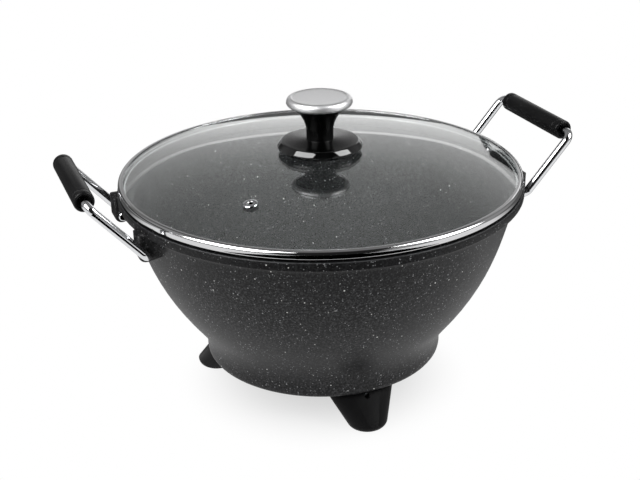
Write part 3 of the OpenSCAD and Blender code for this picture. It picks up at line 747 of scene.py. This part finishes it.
def makePane():
    shape = paneShape
    low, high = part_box("lid_glass")
    thick = shape["thickness"] / 1000
    rise = high.z - low.z - thick
    domeRadius = (high.x ** 2 + rise ** 2) / (2 * rise)
    domeCentre = Vector((0, 0, high.z - domeRadius))
    ventLow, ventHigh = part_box("steam_vent")
    ventWay = ((ventLow + ventHigh) / 2 - domeCentre).normalized()
    ventPlace = domeCentre + ventWay * domeRadius
    ventAngle = math.acos(ventWay.z)
    startAngle = math.asin(shape["knobHole"] / 1000 / domeRadius)
    endAngle = math.asin(high.x / domeRadius)
    # an arc from the knob's hole to the rim, with one of its corners at the vent
    mesh = bmesh.new()
    startWay = Vector((math.sin(startAngle), 0, math.cos(startAngle)))
    start = mesh.verts.new(domeCentre + startWay * domeRadius)
    inner = bmesh.ops.spin(mesh, geom=[start], cent=domeCentre, axis=(0, 1, 0),
                           angle=ventAngle - startAngle, steps=shape["innerSteps"])
    bmesh.ops.spin(mesh, geom=inner["geom_last"], cent=domeCentre, axis=(0, 1, 0),
                   angle=endAngle - ventAngle, steps=shape["outerSteps"])
    move(mesh, Matrix.Rotation(math.atan2(ventWay.y, ventWay.x), 3, "Z"))
    lathe(mesh, shape["roundSteps"])
    # the vent's hole: a round collar in place of the four faces that meet there
    middle = min(mesh.verts, key=lambda v: (v.co - ventPlace).length)
    bmesh.ops.delete(mesh, geom=list(middle.link_faces), context="FACES")
    if middle.is_valid:
        bmesh.ops.delete(mesh, geom=[middle], context="VERTS")
    near = shape["ventNear"] / 1000
    rim = [e for e in mesh.edges if e.is_boundary and (e.verts[0].co - ventPlace).length < near]
    ring = bmesh.ops.create_circle(mesh, cap_ends=False, segments=shape["ventSteps"],
                                   radius=shape["ventHole"] / 1000)["verts"]
    move(mesh, towards(ventWay), ventPlace, ring)
    hole = once(e for v in ring for e in v.link_edges)
    bmesh.ops.bridge_loops(mesh, edges=rim + hole)
    bmesh.ops.recalc_face_normals(mesh, faces=mesh.faces)
    if sum(face.normal.z for face in mesh.faces) < 0:
        bmesh.ops.reverse_faces(mesh, faces=mesh.faces)
    bmesh.ops.solidify(mesh, geom=mesh.faces[:], thickness=thick)
    finished(mesh, "lid_pane", "lid", "clear_glass", "lid_glass", shape["sharp"])
    return domeCentre


def makeBand():
    shape = bandShape
    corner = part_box("lid_band")[1]
    path = [(corner.x * 1000 - inward, corner.z * 1000 - down, bend)
            for inward, down, bend in shape["path"]]
    mesh = lathe(outline(path), shape["roundSteps"])
    bmesh.ops.solidify(mesh, geom=mesh.faces[:], thickness=shape["sheet"] / 1000)
    finished(mesh, "lid_rim_band", "lid", "polished_steel", "lid_band", shape["sharp"])


domeCentre = makePane()
makeBand()
print("pane and band made")

# steam vent: an eyelet rolled over on top; radius, height and rounding in millimetres
ventShape = {
    "outline": [
        (1.6, -2.9, 0.2), (3.5, -2.9, 0.3), (3.5, -2.1, 0), (2.5, -2.1, 0), (2.5, 2.1, 0),
        *bowed(16, (6.3, 2.1), (6.2, 2.9), (4.4, 3.8), (2.6, 3.6), (1.6, 1.7)),
    ],
    "roundSteps": 48,
}


def makeVent():
    low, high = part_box("steam_vent")
    place = (low + high) / 2
    mesh = lathe(outline(ventShape["outline"], True), ventShape["roundSteps"])
    move(mesh, towards((place - domeCentre).normalized()), place)
    finished(mesh, "vent_eyelet", "lid", "chrome_fitting", "steam_vent")


makeVent()
print("vent made")

# knob and cap: radius, height above the underside and rounding, in millimetres
knobShape = {
    "outline": [
        (0, 12, 0), (2.55, 12, 0), (2.55, 0, 0), (35.6, 0, 0.4), (37, 1.6, 0.3),
        (36.9, 3.3, 0.25), (34, 7.1, 0.5), (33, 7.6, 0.3), (11.75, 8.4, 0.4),
        *bowed(18, (11.75, 14.4), (11.75, 23.4), (15.2, 28.6), (19.5, 34)),
        (24, 37.1, 0.3), (24, 38, 0.2), (20, 38, 0), (20, 42, 0), (0, 42, 0),
    ],
    "roundSteps": 128,
    "sharp": 30,
}
capShape = {
    "outline": [
        (20.05, 0.05, 0),
        *bowed(6, (25.2, 0.05), (28.0, 0.6), (28.6, 3)),
        *bowed(12, (28.6, 3), (28.4, 7.8), (24.4, 8))[1:],
        (23.0, 7.3, 0.5), (0, 7.7, 0),
    ],
    "roundSteps": 128,
    "sharp": 30,
}


def makeTurned(shape, name, slotName, node):
    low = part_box(node)[0]
    mesh = lathe(outline(shape["outline"]), shape["roundSteps"])
    bmesh.ops.translate(mesh, vec=(0, 0, low.z), verts=mesh.verts)
    finished(mesh, name, "lid", slotName, node, shape["sharp"])


makeTurned(knobShape, "knob_moulding", "gloss_phenolic", "knob_body")
makeTurned(capShape, "knob_steel_cap", "satin_steel", "knob_cap")
print("knob made")

# bail handles, in millimetres in the bail's own plane
bailShape = {
    "wireRadius": 3.8,
    "tipChamfer": 0.8,
    "tipInside": 31.5,
    "hingeBend": 7,
    "gripBend": 8,
    "bendSteps": 10,
    "roundSteps": 28,
}
# grip: a sleeve with a fine groove and a hollow at each end; radius, place along it, rounding
gripShape = {
    "outline": [
        (8.5, 39.8, 0.1), (8.1, 40.4, 0.2), (8.5, 41.0, 0.1), (8.5, 48, 2.0), (6.2, 48, 0.4),
        (6.2, 43.5, 0.3), (3.9, 43.5, 0), (3.9, -43.5, 0), (6.2, -43.5, 0.3), (6.2, -48, 0.4),
        (8.5, -48, 2.0), (8.5, -41.0, 0.1), (8.1, -40.4, 0.2), (8.5, -39.8, 0.1),
    ],
    "roundSteps": 72,
}


def bentWire(hinge, grip, armY):
    # half a bail: from the tip in the lug, round two bends, to the middle of the grip
    shape = bailShape
    size = shape["wireRadius"] / 1000
    chamfer = shape["tipChamfer"] / 1000
    tip = shape["tipInside"] / 1000
    hingeBend = shape["hingeBend"] / 1000
    gripBend = shape["gripBend"] / 1000
    reach = (grip - hinge).length
    mesh = bmesh.new()
    end = bmesh.ops.create_circle(mesh, cap_ends=True, segments=shape["roundSteps"],
                                  radius=size - chamfer)["verts"]
    move(mesh, about("X", -90), (0, tip, 0), end)
    edges = mesh.edges[:]

    def onward(x, y, grow=1.0):
        # draws the wire's end out by x and y, and widens it by grow
        nonlocal edges
        made = bmesh.ops.extrude_edge_only(mesh, edges=edges)["geom"]
        loop = [g for g in made if isinstance(g, bmesh.types.BMVert)]
        edges = [g for g in made if isinstance(g, bmesh.types.BMEdge) and set(g.verts) <= set(loop)]
        bmesh.ops.translate(mesh, vec=(x, y, 0), verts=loop)
        if grow != 1.0:
            middle = sum((v.co for v in loop), Vector()) / len(loop)
            bmesh.ops.scale(mesh, vec=(grow,) * 3, space=Matrix.Translation(-middle), verts=loop)

    def around(x, y):
        # bends the wire's end to the right, about a centre at x and y
        nonlocal edges
        loop = once(v for e in edges for v in e.verts)
        made = bmesh.ops.spin(mesh, geom=loop + edges, cent=(x, y, 0), axis=(0, 0, 1),
                              angle=math.radians(-90), steps=shape["bendSteps"])["geom_last"]
        edges = [g for g in made if isinstance(g, bmesh.types.BMEdge)]

    onward(0, chamfer, size / (size - chamfer))
    onward(0, armY - hingeBend - tip - chamfer)
    around(hingeBend, armY - hingeBend)
    onward(reach - hingeBend - gripBend, 0)
    around(reach - gripBend, armY - gripBend)
    onward(0, gripBend - armY)
    return mesh


def makeBail(side):
    low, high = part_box("bail_right")
    gripLow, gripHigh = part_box("grip_right")
    size = bailShape["wireRadius"] / 1000
    hinge = Vector((low.x + size, 0, low.z + size))
    grip = (gripLow + gripHigh) / 2
    bail = bentWire(hinge, grip, high.y - size)
    bmesh.ops.mirror(bail, geom=bail.verts[:] + bail.edges[:] + bail.faces[:], axis="Y",
                     merge_dist=weld)
    bmesh.ops.recalc_face_normals(bail, faces=bail.faces)
    slope = math.atan2(grip.z - hinge.z, grip.x - hinge.x)
    move(bail, Matrix.Rotation(-slope, 3, "Y"), hinge)
    sleeve = lathe(outline(gripShape["outline"], True), gripShape["roundSteps"])
    move(sleeve, about("X", -90), grip)
    if side == "left":
        flip(bail)
        flip(sleeve)
    finished(bail, "bail_wire_" + side, "bail_" + side, "chrome_wire", "bail_" + side)
    finished(sleeve, "grip_sleeve_" + side, "grip_" + side, "grip_plastic", "grip_" + side)


for side in ("left", "right"):
    makeBail(side)
print("bails and grips made")

# feet, in millimetres, for a foot that points along +X
footShape = {
    "topThick": 28,
    "plate": 1,
    "tipWidth": 36,
    "tipEdge": 6.2,
    "edgeSteps": 9,
    "soleHeight": 1.5,
    "roundSteps": 72,
    "screwHeight": 29.6,
    "screwHole": 4.4,
    "holeFrom": 98.5,
    "holeLength": 60,
    "holeSteps": 28,
    "sharp": 40,
}
footAngles = {"foot_front": -90, "foot_rear_right": 30, "foot_rear_left": 150}


def makeFoot(node, angle):
    # the skin stretched over an oval plate at the top and a disc with a rounded edge at the tip
    shape = footShape
    low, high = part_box("foot_front")
    topWide = (high.x - low.x) / 2
    topDeep = shape["topThick"] / 2000
    topMiddle = topDeep - high.y
    tipSize = shape["tipWidth"] / 2000
    tipMiddle = -low.y - tipSize
    edge = shape["tipEdge"] / 1000
    levels = [
        (high.z, topMiddle, topDeep, topWide),
        (high.z - shape["plate"] / 1000, topMiddle, topDeep, topWide),
    ]
    for step in range(shape["edgeSteps"] + 1):
        lean = math.pi / 2 * step / shape["edgeSteps"]
        size = tipSize - edge + edge * math.cos(lean)
        height = shape["soleHeight"] / 1000 + edge - edge * math.sin(lean)
        levels.append((height, tipMiddle, size, size))
    mesh = bmesh.new()
    for height, middle, deep, wide in levels:
        made = bmesh.ops.create_circle(mesh, cap_ends=False, segments=shape["roundSteps"],
                                       radius=1.0)["verts"]
        bmesh.ops.scale(mesh, vec=(deep, wide, 1), verts=made)
        bmesh.ops.translate(mesh, vec=(middle, 0, height), verts=made)
    bmesh.ops.delete(mesh, geom=mesh.edges[:], context="EDGES_FACES")
    hull = bmesh.ops.convex_hull(mesh, input=mesh.verts[:])
    inside = once(hull["geom_interior"] + hull["geom_unused"])
    inside = [g for g in inside if isinstance(g, bmesh.types.BMVert)]
    bmesh.ops.delete(mesh, geom=inside, context="VERTS")
    bmesh.ops.recalc_face_normals(mesh, faces=mesh.faces)
    turned = about("Z", angle)
    move(mesh, turned)
    foot = finished(mesh, node + "_moulding", "pan", "foot_phenolic", node, shape["sharp"])
    # the hole that the screw's head lies in
    tool = bmesh.new()
    depth = shape["holeLength"] / 1000
    radius = shape["screwHole"] / 2000
    bmesh.ops.create_cone(tool, cap_ends=True, segments=shape["holeSteps"], radius1=radius,
                          radius2=radius, depth=depth)
    place = (shape["holeFrom"] / 1000 + depth / 2, 0, shape["screwHeight"] / 1000)
    move(tool, about("Y", 90), place)
    move(tool, turned)
    cutAway(foot, tool, shape["sharp"])


for node, angle in footAngles.items():
    makeFoot(node, angle)
print("feet made")

# camera, at the photograph's angle
cameraPlan = {
    "lens": 65.8,
    "sensor": 36,
    "clip": (0.05, 60),
    "distance": 1.0253,
    "azimuth": 20.816,
    "elevation": 23.995,
    "roll": -1.018,
    "aim": (0, 0, 0.200),
    "aimPixel": (320.55, 171.48),
    "imageSize": (640, 480),
}


def makeCamera():
    plan = cameraPlan
    data = bpy.data.cameras.new("camera")
    data.lens = plan["lens"]
    data.sensor_width = plan["sensor"]
    data.clip_start, data.clip_end = plan["clip"]
    azimuth = math.radians(plan["azimuth"])
    roll = math.radians(plan["roll"])
    back = wayTo(0, plan["elevation"])
    level = Vector((math.cos(azimuth), -math.sin(azimuth), 0))
    right = math.cos(roll) * level + math.sin(roll) * back.cross(level)
    up = back.cross(right)
    # slid sideways and up so that the aim falls on its pixel
    perPixel = plan["distance"] / (plan["lens"] / plan["sensor"] * plan["imageSize"][0])
    aside = (plan["aimPixel"][0] - plan["imageSize"][0] / 2) * perPixel
    above = (plan["aimPixel"][1] - plan["imageSize"][1] / 2) * perPixel
    place = Vector(plan["aim"]) + back * plan["distance"] - right * aside + up * above
    camera = bpy.data.objects.new("camera", data)
    turned = Matrix((right, up, back)).transposed().to_4x4()
    camera.matrix_world = Matrix.Translation(place) @ turned
    bpy.context.scene.collection.objects.link(camera)
    bpy.context.scene.camera = camera
    return back, level


def wayTo(turned, lift):
    # turned from the camera to its right and lifted from the level, both in degrees
    turned = math.radians(turned - cameraPlan["azimuth"])
    lift = math.radians(lift)
    return Vector((math.sin(turned) * math.cos(lift), -math.cos(turned) * math.cos(lift),
                   math.sin(lift)))


towardsCamera, cameraRight = makeCamera()
print("camera placed")

# floor: white to the camera with the object's shadow, and mostly dark in the object's own
# reflections where it lies behind the object
floorLook = {
    "size": 12.0,
    "colour": "#f4f4f4",
    "clearRange": (0.05, 0.14),
    "veil": 0.62,
    "shine": 0.1,
    "shineNear": 0.95,
    "shineRange": (-0.30, 0.0),
    "shineUnder": 0.6,
    "bounce": 0.05,
}


def makeFloor():
    look = floorLook
    paint = newPaint("floor_white")
    where = paint.place()
    away = paint.between(paint.fromAxis(where), *look["clearRange"])
    direct = paint.maths("MAXIMUM", paint.ray("Camera"), paint.ray("Transmission"))
    mirrored = paint.ray("Glossy")
    veil = paint.maths("MAXIMUM", direct * mixed(away, look["veil"], 1.0), mirrored)
    veil = veil + paint.ray("Diffuse") * look["bounce"]
    forward = paint.split(where, "X") * towardsCamera.x + paint.split(where, "Y") * towardsCamera.y
    near = paint.between(forward, *look["shineRange"]) * mixed(away, look["shineUnder"], 1.0)
    glow = mixed(mirrored, 1.0, mixed(near, look["shine"], look["shineNear"]))
    paper = paint.node("BsdfDiffuse", values={"Color": ink(look["colour"])})
    bright = paint.node("Emission", values={"Color": white, "Strength": glow})
    # clear from below, so that a low view shows the underside
    clear = paint.node("BsdfTransparent")
    beneath = paint.node("NewGeometry", out="Backfacing")
    paint.show(paint.mixShaders(beneath, paint.mixShaders(veil, paper, bright), clear))
    mesh = bmesh.new()
    bmesh.ops.create_grid(mesh, x_segments=2, y_segments=2, size=look["size"] / 2)
    floor = placed(mesh, "floor")
    floor.data.materials.append(paint.owner)


makeFloor()

# world: strengths by direction, with ranges in parts of a unit vector
studio = {
    "fill": 0.64,
    "shade": 0.34,
    "shadeRange": (-0.9, -0.1),
    # behind the object: a white backdrop with a bright upper edge that rises to both sides
    "backdrop": 1.1,
    "backdropTop": (0.188, 0.208),
    "flatTo": 0.15,
    "riseTo": 0.36,
    "rise": 5.5,
    "edge": 0.9,
    "edgeFoot": (0.175, 0.190),
    "edgeTop": (0.198, 0.213),
    "rear": 0.7,
    "rearRange": (0.21, 0.56),
    "rearTurn": (0.5, 0.95),
    "rearAside": 0.6,
    "leftRange": (-0.36, 0.0),
    "leftShare": 0.36,
    "outerRange": (0.42, 0.58),
    "outerShare": 0.12,
    # in front: dark, with light walls to both sides
    "front": 0.015,
    "frontRange": (0.45, 0.8),
    "flank": 0.3,
    "flankRight": (0.45, 0.6),
    "flankLeft": (-0.46, -0.36),
    # overhead
    "top": 0.2,
    "roofTurn": (-0.4, 0.1),
    "roofRange": (0.6, 0.85),
}


def makeWorld():
    look = studio
    world = bpy.data.worlds.new("studio")
    bpy.context.scene.world = world
    paint = Paint(world)
    way = paint.node("TexCoord", out="Generated")
    ahead = Vector((-towardsCamera.x, -towardsCamera.y, 0)).normalized()
    forward = paint.vectors("DOT_PRODUCT", way, tuple(ahead), out="Value")
    side = paint.vectors("DOT_PRODUCT", way, tuple(cameraRight), out="Value")
    aside = paint.maths("ABSOLUTE", side)
    height = paint.split(way, "Z")
    off = paint.maths("MINIMUM", aside, look["riseTo"])
    off = paint.maths("MAXIMUM", off - look["flatTo"], 0.0)
    above = height - off * off * look["rise"]
    rear = paint.between(above, *look["rearRange"], look["rear"], look["top"])
    rear = rear * paint.between(forward, *look["rearTurn"], look["rearAside"], 1.0)
    rear = mixed(paint.below(above, *look["backdropTop"]), rear, look["backdrop"])
    edge = paint.between(above, *look["edgeFoot"]) * paint.below(above, *look["edgeTop"])
    rear = rear + edge * look["edge"]
    rear = rear * paint.between(side, *look["leftRange"], look["leftShare"], 1.0)
    rear = rear * paint.between(aside, *look["outerRange"], 1.0, look["outerShare"])
    flank = paint.between(side, *look["flankRight"]) + paint.below(side, *look["flankLeft"])
    front = look["front"] + flank * look["flank"]
    walls = mixed(paint.between(forward, *look["frontRange"]), front, rear)
    roof = paint.between(forward, *look["roofTurn"]) * look["top"] + look["front"]
    glossy = mixed(paint.between(height, *look["roofRange"]), walls, roof)
    fill = look["fill"] - paint.below(forward, *look["shadeRange"]) * look["shade"]
    direct = paint.maths("MAXIMUM", paint.ray("Camera"), paint.ray("Transmission"))
    strength = mixed(direct, mixed(paint.ray("Glossy"), fill, glossy), 1.0)
    paint.show(paint.node("Background", values={"Color": white, "Strength": strength}))


makeWorld()

# turn is measured from the camera to its right, lift from the level, both in degrees
lamps = {
    "left": {"turn": -48, "lift": 24, "away": 1.5, "width": 0.8, "height": 0.6, "power": 6.5},
    "right": {"turn": 55, "lift": 28, "away": 1.6, "width": 0.6, "height": 0.6, "power": 5},
    "above": {"turn": 180, "lift": 74, "away": 1.7, "width": 1.4, "height": 1.0, "power": 7},
}
lampAim = Vector((0, 0, 0.15))

# cards that only polished surfaces show: bright windows, and black flags that lie on the floor
cards = {
    "window_left": {"turn": -55, "lift": 42, "away": 1.2, "width": 0.94, "height": 0.85, "glow": 8},
    "window_right": {"turn": 78, "lift": 40, "away": 1.2, "width": 0.62, "height": 0.85, "glow": 8},
    "flag_near": {"turn": 5, "away": 1.35, "width": 0.76, "height": 2.1, "glow": 0},
    "flag_far": {"turn": 5, "away": 3.65, "width": 3.4, "height": 4.5, "glow": 0},
}
windowAim = Vector((0, 0, 0.2))
flagAim = Vector((0, 0, 0.002))


def makeLamps():
    for name, box in lamps.items():
        data = bpy.data.lights.new("softbox_" + name, "AREA")
        data.shape = "RECTANGLE"
        data.size = box["width"]
        data.size_y = box["height"]
        data.energy = box["power"]
        way = wayTo(box["turn"], box["lift"])
        lamp = bpy.data.objects.new("softbox_" + name, data)
        lamp.rotation_mode = "QUATERNION"
        lamp.location = lampAim + way * box["away"]
        lamp.rotation_quaternion = way.to_track_quat("Z", "Y")
        lamp.visible_glossy = False
        bpy.context.scene.collection.objects.link(lamp)


def makeCards():
    for name, card in cards.items():
        mesh = bmesh.new()
        bmesh.ops.create_grid(mesh, x_segments=1, y_segments=1, size=0.5)
        bmesh.ops.scale(mesh, vec=(card["width"], card["height"], 1), verts=mesh.verts)
        way = wayTo(card["turn"], card.get("lift", 0))
        if "lift" in card:
            move(mesh, towards(way), windowAim + way * card["away"])
        else:
            flat = about("Z", card["turn"] - cameraPlan["azimuth"])
            move(mesh, flat, flagAim + way * card["away"])
        paint = newPaint(name)
        paint.show(paint.node("Emission", values={"Color": white, "Strength": card["glow"]}))
        made = placed(mesh, name)
        made.visible_camera = False
        made.visible_diffuse = False
        made.visible_transmission = False
        made.visible_shadow = False
        made.data.materials.append(paint.owner)


makeLamps()
makeCards()
bpy.context.scene.view_settings.view_transform = "Standard"
print("studio lit")
